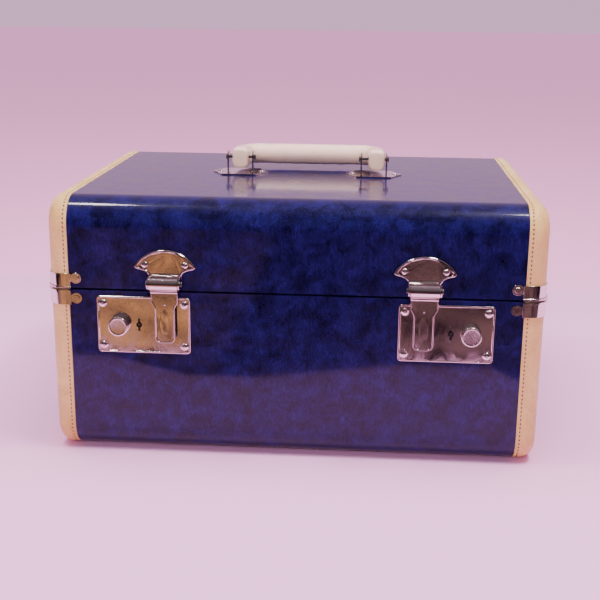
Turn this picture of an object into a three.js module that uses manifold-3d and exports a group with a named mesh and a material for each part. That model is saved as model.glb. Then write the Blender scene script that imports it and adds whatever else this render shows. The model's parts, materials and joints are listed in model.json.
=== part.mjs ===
// A makeup train case: a hard blue case with cream bindings, a hinged lid, two locks and a folding handle.
// Millimetres, +X to the right, +Y to the back, +Z up. The origin is the middle of the underside.
import * as THREE from "three";
import { mergeVertices } from "three/addons/utils/BufferGeometryUtils.js";
import Module from "manifold-3d";

// The body of the case
const BODY_LENGTH = 349;
const BODY_DEPTH = 258;
const BODY_TOP = 188;
const BODY_BOTTOM = 0.5;
const EDGE_ROUND = 20;
const END_ROUND = 10;
const PARTING = 123.15;
const PARTING_GAP = 1.5;
const WALL = 5;
const END_PANEL_INSIDE = 166.3;

// The cream bindings that are sewn over the ends
const BINDING_FROM = 160;
const BINDING_ON_END = 14;
const BINDING_PROUD = 0.5;
const BINDING_SUNK = 0.9;

// What touches is drawn this far apart
const FIT = 0.3;

// Linings, rim collar, tray and mirror
const LINING = 1;
const COLLAR_GAP = 0.7;
const COLLAR = 1.8;
const COLLAR_BOTTOM = 91;
const COLLAR_TOP = 129;
const TRAY_GAP = 1;
const TRAY_BOTTOM = 94.5;
const TRAY_FLANGE = 2;
const TRAY_WALL = 2;
const TRAY_ROUND = 3;
const TRAY_FRONT_POCKET = 62;
const MIRROR_FRAME = { length: 204, depth: 154, border: 14, thick: 3.7 };
const MIRROR_GLASS = { length: 180, depth: 130, thick: 2.5 };

// Hinges on the back
const HINGE_X = 100;
const HINGE_OUT = 3.6;
const HINGE_WIDTH = 40;
const HINGE_LEAF = 1.2;
const HINGE_REACH = 15;
const HINGE_BARREL = 3;
const HINGE_BORE = 1.5;
const HINGE_PIN = 1.2;
const HINGE_MIDDLE = 7;
const HINGE_SCREW = { x: 13, z: 9.5, head: 2.4, high: 1 };
const HINGE_PIN_HEAD = { radius: 2.2, thick: 1 };

// Lock plates on the front of the base, with the case and its works behind each
const LOCK_X = 106.9;
const LOCK_Z = 98.1;
const PLATE = { length: 67, height: 42, round: 2.5, sheet: 1, bead: 1.6, beadHigh: 0.8 };
const LOCK_RIVET = { u: 29, z: 15.5, shank: 1.5, head: 2.9, high: 1.6 };
const CASE_BOX = { half: 26.6, high: 14, wall: 0.8, back: 0.9, backLength: 63, backHeight: 37 };
const KEY_U = 3.4;
const KEY_POST = 0.85;
const KEYHOLE = { radius: 2.1, half: 0.75, high: 4.65 };
const KNOB_U = 17.4;
const KNOB = { radius: 7.2, shank: 1.7, out: 8.3 };
const KNOB_TRAVEL = 4.8;
const BOLT = { front: 0.7, thick: 1.2, high: 4, outer: 20.6, shoulder: -6, nose: -12.9 };
const BOLT_NOSE_Z = [2.4, 5.4];
const BOLT_SPRING = { radius: 1.2, wire: 0.25, length: 12.9, turns: 6, u: 7.35, y: 2.1, z: 6.5 };
const SPRING_STOP = { from: 14.2, to: 15.4, front: 0.6 };

// Hasps: the fan plate on the lid, its pin, and the tongue that hangs from it
const HASP_U = -16;
const HASP_PIN_Z = 130;
const HASP_PIN_OUT = 6.5;
const BARREL = { radius: 4.8, half: 10, hollow: 3.4, hollowHalf: 8.6 };
const PIN_RADIUS = 1.2;
const PIN_BORE = 1.5;
const CHEEK = { inner: 10.3, outer: 11.6, radius: 4.4 };
const FAN = { halfWidth: 22.2, tipZ: 10.6, topZ: 23.4, neckZ: 4.5, rim: 2, tipRound: 2.6 };
const FAN_RIVET = { u: 14.2, z: 12.4, shank: 1.2, bore: 1.5, head: 2.4, high: 1.4 };
const TONGUE = { top: -4.2, shoulderTop: -12, shoulderEnd: -19, bottom: -43.6, wide: 9.75, narrow: 7.3 };
const TONGUE_BACK = -2.7;
const TONGUE_LAYER = { hollow: -4.4, field: -5.6, bead: -6.4, brow: -8 };
const TONGUE_BEAD = 1.2;
const HASP_SPRING = { radius: 2.3, wire: 0.3, turns: 5 };
const PIN_HEAD = { radius: 2, thick: 0.8 };
const STAPLE = { half: 2.5, top: -25, bottom: -31, tip: 2.8 };
const STAPLE_SLOT = { half: 3.6, bottom: -3, deep: 3.4 };

// Corner caps at the parting line
const CAP_EAR = 154.9;
const CAP_EAR_END = 110.4;
const CAP_BAND = 158.7;
const CAP_BAND_END = 113.7;
const CAP_UPPER = { low: 123.9, high: 134.4, ear: 131 };
const CAP_LOWER = { low: 111.6, high: 122.4, ear: 116.4 };
const CAP_SHEET = 0.9;
const CAP_LIP = { out: 1.7, high: 1.3 };
const CAP_DISC = { radius: 3.9, neck: 2.6, head: 2.3, headOut: 1.9 };

// Handle on the lid, folded back
const HANDLE_PLATE_X = 53.3;
const HANDLE_PLATE_Y = 2;
const HANDLE_PLATE = { length: 44.4, depth: 32, thick: 1, rivetAt: 17 };
const HANDLE_PIN_Y = 3.5;
const HANDLE_PIN_UP = 12.5;
const LUG = { half: 9.95, thick: 1.2, width: 10, bore: 1.4 };
const HANDLE_RIVET = { shank: 1.5, bore: 1.8, head: 2.6, high: 1.2 };
const HANDLE_PIN = { radius: 1.1, bore: 1.5, head: 2, headThick: 1 };
const HANDLE_SHIFT = 0.85;
const HANDLE_ARM = 54.5;
const BLOCK = { width: 13.4, front: -7, back: 10.5, low: -9, high: 8 };
const GRIP = { high: 8.3, deep: 9.5, back: 32.5, up: -1.3, bend: 15, start: 9 };

const FRONT = -BODY_DEPTH / 2;
const BACK = BODY_DEPTH / 2;
const BASE_RIM = PARTING - PARTING_GAP / 2;
const LID_RIM = PARTING + PARTING_GAP / 2;
const FAR = 400;
const SIDES = { left: -1, right: 1 };

const { Manifold, Mesh: ManifoldMesh } = await Module().then((wasm) => {
  wasm.setup();
  return wasm;
});

// A geometry as a solid that can be joined and cut.
function solidOf(geometry) {
  const bare = geometry.index ? geometry.toNonIndexed() : geometry.clone();
  bare.deleteAttribute("normal");
  bare.deleteAttribute("uv");
  const merged = mergeVertices(bare, 1e-4);
  return new Manifold(
    new ManifoldMesh({
      numProp: 3,
      vertProperties: merged.attributes.position.array,
      triVerts: new Uint32Array(merged.index.array),
    }),
  );
}

const join = (solids) => Manifold.union(solids);
const cut = (solid, tools) => solid.subtract(join(tools));

function addPiece(group, name, solid, material) {
  const { vertProperties, triVerts } = solid.getMesh();
  const geometry = new THREE.BufferGeometry();
  geometry.setAttribute("position", new THREE.BufferAttribute(vertProperties, 3));
  geometry.setIndex(new THREE.BufferAttribute(triVerts, 1));
  geometry.computeVertexNormals();
  const mesh = new THREE.Mesh(geometry, material);
  mesh.name = name;
  group.add(mesh);
}

function box([xa, xb], [ya, yb], [za, zb]) {
  const geometry = new THREE.BoxGeometry(Math.abs(xb - xa), Math.abs(yb - ya), Math.abs(zb - za));
  return solidOf(geometry.translate((xa + xb) / 2, (ya + yb) / 2, (za + zb) / 2));
}

// Round rods along each axis, between two places on that axis.
const rodZ = (radius, [a, b], x, y, sides = 20) =>
  solidOf(
    new THREE.CylinderGeometry(radius, radius, Math.abs(b - a), sides)
      .rotateX(Math.PI / 2)
      .translate(x, y, (a + b) / 2),
  );
const rodY = (radius, [a, b], x, z, sides = 20) =>
  solidOf(
    new THREE.CylinderGeometry(radius, radius, Math.abs(b - a), sides).translate(x, (a + b) / 2, z),
  );
const rodX = (radius, [a, b], y, z, sides = 20) =>
  solidOf(
    new THREE.CylinderGeometry(radius, radius, Math.abs(b - a), sides)
      .rotateZ(Math.PI / 2)
      .translate((a + b) / 2, y, z),
  );

// A low round rivet head that stands out of the front (towards -Y), its flat side at y.
function domeY(radius, high, x, y, z) {
  const profile = [new THREE.Vector2(0, 0)];
  for (let i = 0; i <= 3; i++) {
    const angle = (i * Math.PI) / 6;
    profile.push(new THREE.Vector2(radius * Math.cos(angle), high * Math.sin(angle)));
  }
  profile[profile.length - 1].x = 0;
  const dome = new THREE.LatheGeometry(profile, 12);
  return solidOf(dome.rotateX(Math.PI).translate(x, y, z));
}

// Outlines are lists of points, turned anticlockwise.
function arc(x, y, radius, from, to, steps) {
  const points = [];
  for (let i = 0; i <= steps; i++) {
    const angle = from + ((to - from) * i) / steps;
    points.push(new THREE.Vector2(x + radius * Math.cos(angle), y + radius * Math.sin(angle)));
  }
  return points;
}

function roundedRectangle(width, height, radius, steps = 6) {
  const [x, y] = [width / 2 - radius, height / 2 - radius];
  const corners = [[x, y], [-x, y], [-x, -y], [x, -y]];
  return corners.flatMap(([cx, cy], i) =>
    arc(cx, cy, radius, (i * Math.PI) / 2, ((i + 1) * Math.PI) / 2, steps),
  );
}

// The same outline with each edge moved inwards.
function inset(points, by) {
  return points.map((point, i) => {
    const before = points[(i + points.length - 1) % points.length];
    const after = points[(i + 1) % points.length];
    const a = point.clone().sub(before).normalize();
    const b = after.clone().sub(point).normalize();
    const inwards = new THREE.Vector2(-a.y - b.y, a.x + b.x);
    return point.clone().addScaledVector(inwards, by / (1 + a.dot(b)));
  });
}

const mirrored = (points) => [...points].reverse().map((p) => new THREE.Vector2(-p.x, p.y));

function extrude(points, length, basis, offset, options = {}) {
  const settings = { depth: length, bevelEnabled: false, ...options };
  const geometry = new THREE.ExtrudeGeometry(new THREE.Shape(points), settings);
  geometry.applyMatrix4(new THREE.Matrix4().makeBasis(...basis));
  return solidOf(geometry.translate(...offset));
}

const AXIS = {
  x: new THREE.Vector3(1, 0, 0),
  y: new THREE.Vector3(0, 1, 0),
  z: new THREE.Vector3(0, 0, 1),
  minusY: new THREE.Vector3(0, -1, 0),
};
// An outline in (y, z), (x, z) or (x, y), carried between two places on the third axis.
const slabX = (points, [a, b], options) =>
  extrude(points, b - a, [AXIS.y, AXIS.z, AXIS.x], [a, 0, 0], options);
const slabY = (points, [a, b]) => extrude(points, b - a, [AXIS.x, AXIS.z, AXIS.minusY], [0, b, 0]);
const slabZ = (points, [a, b]) => extrude(points, b - a, [AXIS.x, AXIS.y, AXIS.z], [0, 0, a]);

class Helix extends THREE.Curve {
  constructor(radius, length, turns) {
    super();
    Object.assign(this, { radius, length, turns });
  }
  getPoint(t) {
    const angle = 2 * Math.PI * this.turns * t;
    const x = this.length * (t - 0.5);
    return new THREE.Vector3(x, this.radius * Math.cos(angle), this.radius * Math.sin(angle));
  }
}

// A coil spring along X, centred on the origin.
function coil(radius, wire, length, turns) {
  const section = new THREE.Shape(arc(0, 0, wire, 0, (3 * Math.PI) / 2, 3));
  const path = new Helix(radius, length - 2 * wire, turns);
  const settings = { steps: turns * 8, bevelEnabled: false, extrudePath: path };
  return solidOf(new THREE.ExtrudeGeometry(section, settings));
}

const finish = (color, roughness, metalness = 0) =>
  new THREE.MeshStandardMaterial({ color, roughness, metalness });
const MATERIALS = {
  covering: finish(0x1a1458, 0.3),
  binding: finish(0xd9b391, 0.5),
  lining: finish(0x7d8fb8, 0.8),
  collar: finish(0x14122a, 0.6),
  tray: finish(0xe2d8cc, 0.4),
  handle: finish(0xe6d5ca, 0.25),
  chrome: finish(0xc9bfbd, 0.12, 1),
  steel: finish(0x9a9a9e, 0.4, 1),
  mirror: finish(0xe8eef0, 0.03, 1),
};

// The outside of the closed case, grown outwards all round.
function envelope(grow) {
  const round = END_ROUND + grow;
  const section = roundedRectangle(
    BODY_DEPTH + 2 * grow,
    BODY_TOP - BODY_BOTTOM + 2 * grow,
    EDGE_ROUND + grow,
    6,
  );
  const half = BODY_LENGTH / 2 + grow - round;
  const block = slabX(section, [-half, half], {
    bevelEnabled: true,
    bevelThickness: round,
    bevelSize: round,
    bevelOffset: -round,
    bevelSegments: 4,
  });
  return block.translate([0, 0, (BODY_TOP + BODY_BOTTOM) / 2]);
}

// A plain prism along X whose outline lies inside the body's by the given margin.
function innerPrism(margin, xs, round = EDGE_ROUND - margin) {
  const height = BODY_TOP - BODY_BOTTOM - 2 * margin;
  const section = roundedRectangle(BODY_DEPTH - 2 * margin, height, round, 6);
  return slabX(section, xs).translate([0, 0, (BODY_TOP + BODY_BOTTOM) / 2]);
}

const baseZone = box([-FAR, FAR], [-FAR, FAR], [-FAR, BASE_RIM]);
const lidZone = box([-FAR, FAR], [-FAR, FAR], [LID_RIM, FAR]);

// Board covered in blue: the strip that makes front, back and bottom or top, and the two ends.
const skin = envelope(0);
const underBinding = envelope(-BINDING_SUNK - FIT);
const between = (xa, xb) => box([xa, xb], [-FAR, FAR], [-FAR, FAR]);
const strip = cut(
  join([
    skin.intersect(between(-BINDING_FROM + FIT / 2, BINDING_FROM - FIT / 2)),
    underBinding.intersect(between(-END_PANEL_INSIDE + FIT, END_PANEL_INSIDE - FIT)),
  ]),
  [innerPrism(WALL, [-FAR, FAR])],
);
const endPanel = (side) => {
  const outside = between(side * END_PANEL_INSIDE, side * FAR);
  const field = innerPrism(BINDING_ON_END + FIT / 2, [-FAR, FAR]);
  return join([underBinding, skin.intersect(field)]).intersect(outside);
};
const binding = (side) =>
  cut(envelope(BINDING_PROUD), [
    envelope(-BINDING_SUNK),
    innerPrism(BINDING_ON_END - FIT / 2, [-FAR, FAR]),
    between(-side * FAR, side * (BINDING_FROM + FIT / 2)),
  ]);

// Fabric that lines the inside, as a thin shell.
const liningLength = END_PANEL_INSIDE - FIT;
const lining = cut(innerPrism(WALL + FIT, [-liningLength, liningLength]), [
  innerPrism(WALL + FIT + LINING, [LINING - liningLength, liningLength - LINING]),
]);
const clear = { x: liningLength - LINING, y: BACK - WALL - FIT - LINING };
const ceiling = BODY_TOP - WALL - FIT - LINING;

// Holes that the locks need in the front of the base, and the rivets in the lid.
function lockHoles(sign) {
  const x = (u) => sign * (LOCK_X + u);
  const windowHalf = CASE_BOX.half + 0.5;
  const recess = WALL - CASE_BOX.back - FIT;
  const holes = [
    box([x(-windowHalf), x(windowHalf)], [FRONT - 1, FRONT + WALL + 1], [
      LOCK_Z - CASE_BOX.high - 0.5,
      LOCK_Z + CASE_BOX.high + 0.5,
    ]),
    box(
      [x(-CASE_BOX.backLength / 2 - FIT), x(CASE_BOX.backLength / 2 + FIT)],
      [FRONT + recess, FRONT + WALL + 1],
      [LOCK_Z - CASE_BOX.backHeight / 2 - FIT, LOCK_Z + CASE_BOX.backHeight / 2 + FIT],
    ),
    box(
      [x(HASP_U - STAPLE_SLOT.half), x(HASP_U + STAPLE_SLOT.half)],
      [FRONT - 1, FRONT + STAPLE_SLOT.deep],
      [LOCK_Z, BASE_RIM + 1],
    ),
  ];
  for (const u of [-LOCK_RIVET.u, LOCK_RIVET.u])
    for (const z of [-LOCK_RIVET.z, LOCK_RIVET.z])
      holes.push(rodY(LOCK_RIVET.shank + FIT, [FRONT - 1, FRONT + WALL + 1], x(u), LOCK_Z + z, 12));
  return holes;
}

const haspX = LOCK_X + HASP_U;
const lidTopInside = BODY_TOP - WALL;
function lidHoles(sign) {
  const holes = [-FAN_RIVET.u, FAN_RIVET.u].map((u) =>
    rodY(FAN_RIVET.bore, [FRONT - 1, FRONT + WALL + 1], sign * haspX + u, HASP_PIN_Z + FAN_RIVET.z, 12),
  );
  for (const du of [-HANDLE_PLATE.rivetAt, HANDLE_PLATE.rivetAt]) {
    const x = sign * HANDLE_PLATE_X + du;
    holes.push(rodZ(HANDLE_RIVET.bore, [lidTopInside - 1, BODY_TOP + 1], x, HANDLE_PLATE_Y, 12));
  }
  return holes;
}

// A stamped chrome cap that wraps one corner at the parting line, with an eared rivet on each face.
const planPrism = (grow, zs) =>
  slabZ(roundedRectangle(BODY_LENGTH + 2 * grow, BODY_DEPTH + 2 * grow, END_ROUND + grow, 4), zs);
function cornerCap(sx, sy, { low, high, ear }, lip) {
  const reach = box([sx * CAP_BAND, sx * FAR], [sy * CAP_BAND_END, sy * FAR], [-FAR, FAR]);
  const inside = BINDING_PROUD + FIT;
  const band = (grow, zs) => cut(planPrism(grow, zs), [planPrism(inside, [zs[0] - 1, zs[1] + 1])]);
  const wrap = join([band(inside + CAP_SHEET, [low, high]), band(inside + CAP_LIP.out, lip)]);
  const { radius, neck, head, headOut } = CAP_DISC;
  const neckZ = [ear - neck, ear + neck];
  const face = sy * (BACK + FIT);
  const end = sx * (BODY_LENGTH / 2 + FIT);
  const onFace = [face, face + sy * CAP_SHEET];
  const onEnd = [end, end + sx * CAP_SHEET];
  const neckX = [sx * CAP_EAR, sx * (BINDING_FROM - FIT)];
  const neckY = [sy * CAP_EAR_END, sy * (BACK - BINDING_ON_END - FIT)];
  return join([
    wrap.intersect(reach),
    rodY(radius, onFace, sx * CAP_EAR, ear),
    box(neckX, onFace, neckZ),
    rodY(head, [face, face + sy * headOut], sx * CAP_EAR, ear, 14),
    rodX(radius, onEnd, sy * CAP_EAR_END, ear),
    box(onEnd, neckY, neckZ),
    rodX(head, [end, end + sx * headOut], sy * CAP_EAR_END, ear, 14),
  ]);
}

function buildBase() {
  const base = new THREE.Group();
  const holes = Object.values(SIDES).flatMap(lockHoles);
  addPiece(base, "base_shell", cut(strip.intersect(baseZone), holes), MATERIALS.covering);
  addPiece(base, "base_lining", lining.intersect(baseZone), MATERIALS.lining);
  for (const [side, sign] of Object.entries(SIDES)) {
    addPiece(base, `base_end_${side}`, endPanel(sign).intersect(baseZone), MATERIALS.covering);
    addPiece(base, `base_binding_${side}`, binding(sign).intersect(baseZone), MATERIALS.binding);
    for (const [place, sy] of [["front", -1], ["back", 1]]) {
      const cap = cornerCap(sign, sy, CAP_LOWER, [CAP_LOWER.high - CAP_LIP.high, CAP_LOWER.high]);
      addPiece(base, `base_cap_${place}_${side}`, cap, MATERIALS.chrome);
    }
  }
  const outer = { x: clear.x - COLLAR_GAP, y: clear.y - COLLAR_GAP };
  const collar = cut(box([-outer.x, outer.x], [-outer.y, outer.y], [COLLAR_BOTTOM, COLLAR_TOP]), [
    box([COLLAR - outer.x, outer.x - COLLAR], [COLLAR - outer.y, outer.y - COLLAR], [0, FAR]),
  ]);
  addPiece(base, "rim_collar", collar, MATERIALS.collar);
  return base;
}

// The lift-out tray hangs by its flange on the rim collar.
function buildTray() {
  const tray = new THREE.Group();
  const half = (from) => [clear.x - from, clear.y - from];
  const [flangeX, flangeY] = half(COLLAR_GAP + FIT);
  const [bodyX, bodyY] = half(COLLAR_GAP + COLLAR + TRAY_GAP);
  const flangeZ = [COLLAR_TOP + FIT, COLLAR_TOP + FIT + TRAY_FLANGE];
  const pocketBottom = TRAY_BOTTOM + TRAY_WALL;
  const inner = { x: bodyX - TRAY_WALL, y: bodyY - TRAY_WALL };
  const split = -inner.y + TRAY_FRONT_POCKET;
  const third = (2 * inner.x - 2 * TRAY_WALL) / 3;
  const pocket = (x0, x1, y0, y1) => {
    const outline = roundedRectangle(x1 - x0, y1 - y0, TRAY_ROUND - TRAY_WALL, 3);
    return slabZ(outline, [pocketBottom, FAR]).translate([(x0 + x1) / 2, (y0 + y1) / 2, 0]);
  };
  const pockets = [pocket(-inner.x, inner.x, -inner.y, split)];
  for (let i = 0; i < 3; i++) {
    const x0 = -inner.x + i * (third + TRAY_WALL);
    pockets.push(pocket(x0, x0 + third, split + TRAY_WALL, inner.y));
  }
  const solid = cut(
    join([
      slabZ(roundedRectangle(2 * bodyX, 2 * bodyY, TRAY_ROUND, 4), [TRAY_BOTTOM, flangeZ[1]]),
      slabZ(roundedRectangle(2 * flangeX, 2 * flangeY, TRAY_ROUND, 4), flangeZ),
    ]),
    pockets,
  );
  addPiece(tray, "tray", solid, MATERIALS.tray);
  return tray;
}

function buildLid() {
  const lid = new THREE.Group();
  const holes = Object.values(SIDES).flatMap(lidHoles);
  addPiece(lid, "lid_shell", cut(strip.intersect(lidZone), holes), MATERIALS.covering);
  addPiece(lid, "lid_lining", lining.intersect(lidZone), MATERIALS.lining);
  for (const [side, sign] of Object.entries(SIDES)) {
    addPiece(lid, `lid_end_${side}`, endPanel(sign).intersect(lidZone), MATERIALS.covering);
    addPiece(lid, `lid_binding_${side}`, binding(sign).intersect(lidZone), MATERIALS.binding);
    for (const [place, sy] of [["front", -1], ["back", 1]]) {
      const cap = cornerCap(sign, sy, CAP_UPPER, [CAP_UPPER.low, CAP_UPPER.low + CAP_LIP.high]);
      addPiece(lid, `lid_cap_${place}_${side}`, cap, MATERIALS.chrome);
    }
  }
  const frameTop = ceiling - FIT;
  const frameBottom = frameTop - MIRROR_FRAME.thick;
  const glassBottom = frameTop - MIRROR_GLASS.thick - FIT / 2;
  const rectangle = (length, depth, round, zs) => slabZ(roundedRectangle(length, depth, round, 4), zs);
  const inside = { length: MIRROR_GLASS.length + 2 * FIT, depth: MIRROR_GLASS.depth + 2 * FIT };
  const opening = {
    length: MIRROR_FRAME.length - 2 * MIRROR_FRAME.border,
    depth: MIRROR_FRAME.depth - 2 * MIRROR_FRAME.border,
  };
  const frame = cut(
    rectangle(MIRROR_FRAME.length, MIRROR_FRAME.depth, 8, [frameBottom, frameTop]),
    [
      rectangle(opening.length, opening.depth, 3, [frameBottom - 1, frameTop + 1]),
      rectangle(inside.length, inside.depth, 3, [glassBottom - FIT, frameTop + 1]),
    ],
  );
  addPiece(lid, "mirror_frame", frame, MATERIALS.binding);
  const glass = rectangle(MIRROR_GLASS.length, MIRROR_GLASS.depth, 3, [glassBottom, frameTop - FIT / 2]);
  addPiece(lid, "mirror_glass", glass, MATERIALS.mirror);
  return lid;
}

// One leaf of a hinge about the X axis. up is 1 for the lid's leaf and -1 for the base's.
function hingeLeaf(up, knuckles) {
  const plate = [-HINGE_OUT + FIT, -HINGE_OUT + FIT + HINGE_LEAF];
  const half = HINGE_WIDTH / 2;
  const solids = [box([-half, half], plate, [up * (HINGE_BARREL + 0.5), up * HINGE_REACH])];
  for (const [a, b] of knuckles) {
    solids.push(box([a, b], plate, [0, up * (HINGE_BARREL + 1)]));
    solids.push(rodX(HINGE_BARREL, [a, b], 0, 0));
  }
  const screws = [-HINGE_SCREW.x, HINGE_SCREW.x].map((x) =>
    domeY(HINGE_SCREW.head, HINGE_SCREW.high, x, 0, 0)
      .rotate([0, 0, 180])
      .translate([0, plate[1] - 0.2, up * HINGE_SCREW.z]),
  );
  const bore = rodX(HINGE_BORE, [-FAR, FAR], 0, 0);
  return cut(join([...solids, ...screws]), [bore]);
}

function buildHinge(side, sign, base, lid) {
  const place = [sign * HINGE_X, BACK + HINGE_OUT, PARTING];
  const half = HINGE_WIDTH / 2;
  const middle = [[-HINGE_MIDDLE + 0.2, HINGE_MIDDLE - 0.2]];
  const outer = [[-half, -HINGE_MIDDLE - 0.2], [HINGE_MIDDLE + 0.2, half]];
  const onBase = new THREE.Group();
  const onLid = new THREE.Group();
  onBase.position.set(...place);
  onLid.position.set(...place);
  const pinEnd = half + FIT;
  const { radius, thick } = HINGE_PIN_HEAD;
  const pin = join([
    rodX(HINGE_PIN, [-pinEnd - thick / 2, pinEnd + thick / 2], 0, 0, 14),
    rodX(radius, [-pinEnd - thick, -pinEnd], 0, 0, 14),
    rodX(radius, [pinEnd, pinEnd + thick], 0, 0, 14),
  ]);
  addPiece(onLid, `hinge_leaf_lid_${side}`, hingeLeaf(1, middle), MATERIALS.chrome);
  addPiece(onBase, `hinge_leaf_base_${side}`, hingeLeaf(-1, outer), MATERIALS.chrome);
  addPiece(onBase, `hinge_pin_${side}`, pin, MATERIALS.steel);
  base.add(onBase);
  lid.add(onLid);
}

// One lock, in a frame at the middle of its plate on the front face. u is the distance outboard.
function buildLock(side, sign, base, slide) {
  const group = new THREE.Group();
  const moving = new THREE.Group();
  group.position.set(sign * LOCK_X, FRONT, LOCK_Z);
  moving.position.copy(group.position);
  const u = (a, b) => [sign * a, sign * b];
  const sheetBack = -FIT;
  const sheetFront = sheetBack - PLATE.sheet;
  const corners = [-LOCK_RIVET.u, LOCK_RIVET.u].flatMap((x) =>
    [-LOCK_RIVET.z, LOCK_RIVET.z].map((z) => [x, z]),
  );

  const outline = roundedRectangle(PLATE.length, PLATE.height, PLATE.round, 3);
  const slotEnd = KNOB_U + KNOB_TRAVEL;
  const plate = cut(slabY(outline, [sheetFront - PLATE.beadHigh, sheetBack]), [
    slabY(inset(outline, PLATE.bead), [-5, sheetFront]),
    ...corners.map(([x, z]) => rodY(LOCK_RIVET.shank + FIT, [-5, 1], x, z, 12)),
    rodY(KEYHOLE.radius, [-5, 1], sign * KEY_U, 0, 14),
    box(u(KEY_U - KEYHOLE.half, KEY_U + KEYHOLE.half), [-5, 1], [-KEYHOLE.high, KEYHOLE.high]),
    rodY(KNOB.shank + FIT, [-5, 1], sign * KNOB_U, 0, 12),
    rodY(KNOB.shank + FIT, [-5, 1], sign * slotEnd, 0, 12),
    box(u(KNOB_U, slotEnd), [-5, 1], [-KNOB.shank - FIT, KNOB.shank + FIT]),
    box(u(HASP_U - STAPLE_SLOT.half, HASP_U + STAPLE_SLOT.half), [-5, 1], [STAPLE_SLOT.bottom, FAR]),
  ]);
  addPiece(group, `lock_plate_${side}`, plate, MATERIALS.chrome);

  // The lock case: a shallow box on a back plate, with the key post, the spring's stop and four rivets.
  const backFront = WALL - CASE_BOX.back;
  const rim = CASE_BOX.wall;
  const springZ = [BOLT_SPRING.z - 1.9, BOLT_SPRING.z + 1.9];
  const walls = cut(
    box([-CASE_BOX.half, CASE_BOX.half], [FIT, backFront + 0.1], [-CASE_BOX.high, CASE_BOX.high]),
    [
      box([rim - CASE_BOX.half, CASE_BOX.half - rim], [-1, backFront], [
        rim - CASE_BOX.high,
        CASE_BOX.high - rim,
      ]),
      box(u(HASP_U - STAPLE_SLOT.half, HASP_U + STAPLE_SLOT.half), [-1, STAPLE_SLOT.deep], [0, FAR]),
    ],
  );
  const lockCase = join([
    walls,
    box(
      [-CASE_BOX.backLength / 2, CASE_BOX.backLength / 2],
      [backFront, WALL],
      [-CASE_BOX.backHeight / 2, CASE_BOX.backHeight / 2],
    ),
    rodY(KEY_POST, [-1, backFront + 0.1], sign * KEY_U, 0, 10),
    box(u(SPRING_STOP.from, SPRING_STOP.to), [SPRING_STOP.front, backFront + 0.1], springZ),
    ...corners.map(([x, z]) =>
      join([
        rodY(LOCK_RIVET.shank, [sheetFront - 0.5, backFront + 0.1], x, z, 12),
        domeY(LOCK_RIVET.head, LOCK_RIVET.high, x, sheetFront - FIT, z),
      ]),
    ),
  ]);
  addPiece(group, `lock_case_${side}`, lockCase, MATERIALS.steel);

  // The thumb knob slides outwards and takes the bolt with it, against the bolt spring.
  const knobBack = sheetFront - 0.4;
  const groove = 0.5;
  const knobProfile = [
    [0, -2.4],
    [KNOB.shank, -2.4],
    [KNOB.shank, -knobBack],
    [KNOB.radius - 0.8, -knobBack],
    [KNOB.radius, 2.6],
    [KNOB.radius, 3.4],
    [KNOB.radius - groove, 3.7],
    [KNOB.radius, 4],
    [KNOB.radius, 4.8],
    [KNOB.radius - groove, 5.1],
    [KNOB.radius, 5.4],
    [KNOB.radius, 6.6],
    [KNOB.radius - 1.2, KNOB.out - 0.5],
    [3, KNOB.out - 0.1],
    [0, KNOB.out],
  ].map(([x, y]) => new THREE.Vector2(x, y));
  const knob = new THREE.LatheGeometry(knobProfile, 18).rotateX(Math.PI);
  addPiece(moving, `thumb_knob_${side}`, solidOf(knob.translate(sign * KNOB_U, 0, 0)), MATERIALS.chrome);
  const thick = [BOLT.front, BOLT.front + BOLT.thick];
  const bolt = cut(
    join([
      box(u(BOLT.shoulder, BOLT.outer), thick, [-BOLT.high, BOLT.high]),
      box(u(BOLT.nose, BOLT.shoulder + 0.1), thick, BOLT_NOSE_Z),
      box(u(-1.5, 0.5), thick, [BOLT.high - 0.1, springZ[1]]),
    ]),
    [
      box(u(KEY_U - KNOB_TRAVEL - 1.4, KEY_U + 1.4), [-1, 5], [-2.2, 2.2]),
      rodY(KNOB.shank + FIT, [-1, 5], sign * KNOB_U, 0, 12),
    ],
  );
  addPiece(moving, `lock_bolt_${side}`, bolt, MATERIALS.steel);
  const { radius, wire, length, turns } = BOLT_SPRING;
  const spring = coil(radius, wire, length, turns).translate([
    sign * BOLT_SPRING.u,
    BOLT_SPRING.y,
    BOLT_SPRING.z,
  ]);
  addPiece(group, `bolt_spring_${side}`, spring, MATERIALS.steel);
  base.add(group);
  slide.add(moving);
}

// The outline of the fan plate, or of the field inside its rim, in a frame whose z is 0 at the pin.
function fanOutline(margin = 0) {
  const sag = FAN.topZ - FAN.tipZ;
  const radius = (FAN.halfWidth ** 2 + sag ** 2) / (2 * sag);
  const centre = FAN.topZ - radius;
  const tipZ = FAN.tipZ + 0.35 * margin;
  const tip = Math.asin((tipZ - centre) / (radius - margin));
  const tipX = (radius - margin) * Math.cos(tip);
  const rounding = FAN.tipRound - margin / 2;
  const start = tip + rounding / (radius - margin);
  const neck = CHEEK.outer - margin;
  const side = [
    new THREE.Vector2(neck, -CHEEK.radius),
    ...new THREE.QuadraticBezierCurve(
      new THREE.Vector2(neck, FAN.neckZ),
      new THREE.Vector2(neck + 1.2, FAN.neckZ + 3.6 + margin / 2),
      new THREE.Vector2(tipX - rounding, tipZ - 0.6 * rounding),
    ).getPoints(5),
    ...new THREE.QuadraticBezierCurve(
      new THREE.Vector2(tipX - 0.45 * rounding, tipZ - 0.3 * rounding),
      new THREE.Vector2(tipX, tipZ),
      new THREE.Vector2((radius - margin) * Math.cos(start), centre + (radius - margin) * Math.sin(start)),
    ).getPoints(4).slice(0, -1),
  ];
  return [...side, ...arc(0, centre, radius - margin, start, Math.PI - start, 16), ...mirrored(side)];
}

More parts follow.
